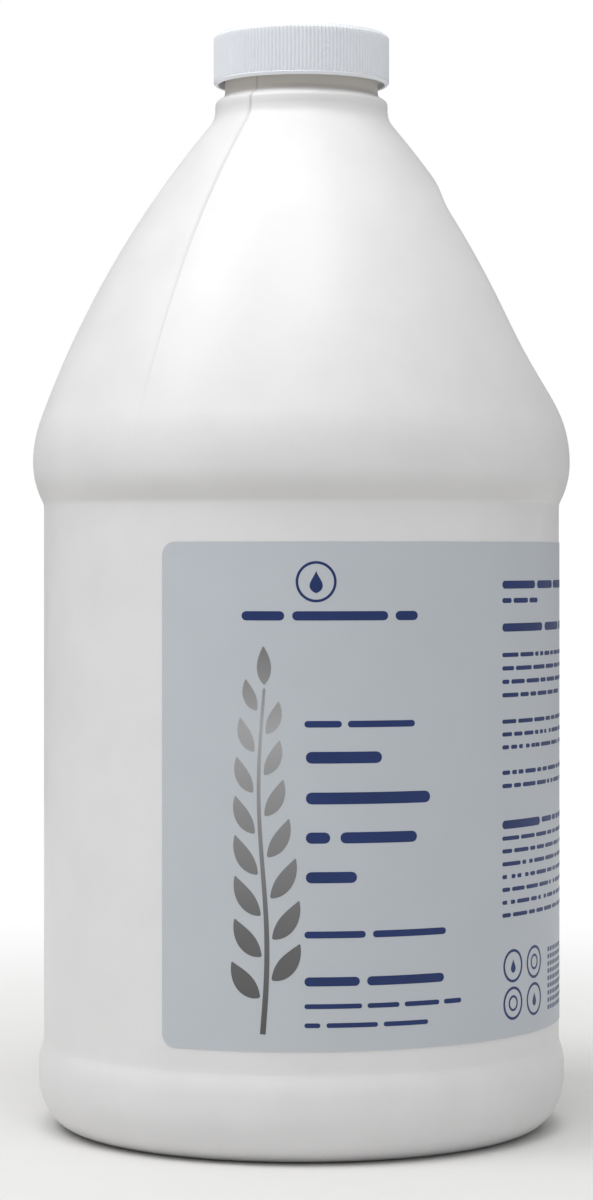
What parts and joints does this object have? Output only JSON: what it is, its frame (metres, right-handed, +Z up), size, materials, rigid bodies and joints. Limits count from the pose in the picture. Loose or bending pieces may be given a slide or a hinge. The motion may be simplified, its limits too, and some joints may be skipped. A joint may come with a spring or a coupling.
{
  "type": "oil jug",
  "caption": "Round half-gallon plastic jug for massage oil with a hollow grip in its conical shoulder, a ribbed screw cap with a sealing liner, and a wrap label.",
  "frame": {"origin": "centre of the resting plane, on the jug's axis", "axes": "+Z up along the jug's axis, through the neck; -Y out of the front of the label; +X to the right as the label is read"},
  "size_m": [0.123, 0.123, 0.2496],
  "materials": {
    "jug_plastic": "satin white blow-moulded polyethylene",
    "cap_plastic": "cool white moulded polypropylene, half gloss",
    "liner_foam": "matt white foam",
    "label_film": "pale blue-grey printed film, satin"
  },
  "bodies": {
    "jug": {"jug_body": "jug_plastic", "wrap_label": "label_film"},
    "liner": {"cap_liner": "liner_foam"},
    "cap": {"screw_cap": "cap_plastic"}
  },
  "joints": [
    {"name": "cap_rise", "type": "slide", "parent": "jug", "child": "liner", "axis": [0, 0, 1], "range_m": [0, 0.0127]},
    {"name": "cap_turn", "type": "hinge", "parent": "liner", "child": "cap", "pos_m": [0, 0, 0.2466], "axis": [0, 0, 1], "range_deg": [0, 1080]}
  ],
  "couplings": [
    {"joint": "cap_rise", "follows": "cap_turn", "m_per_rad": 0.00067376}
  ]
}
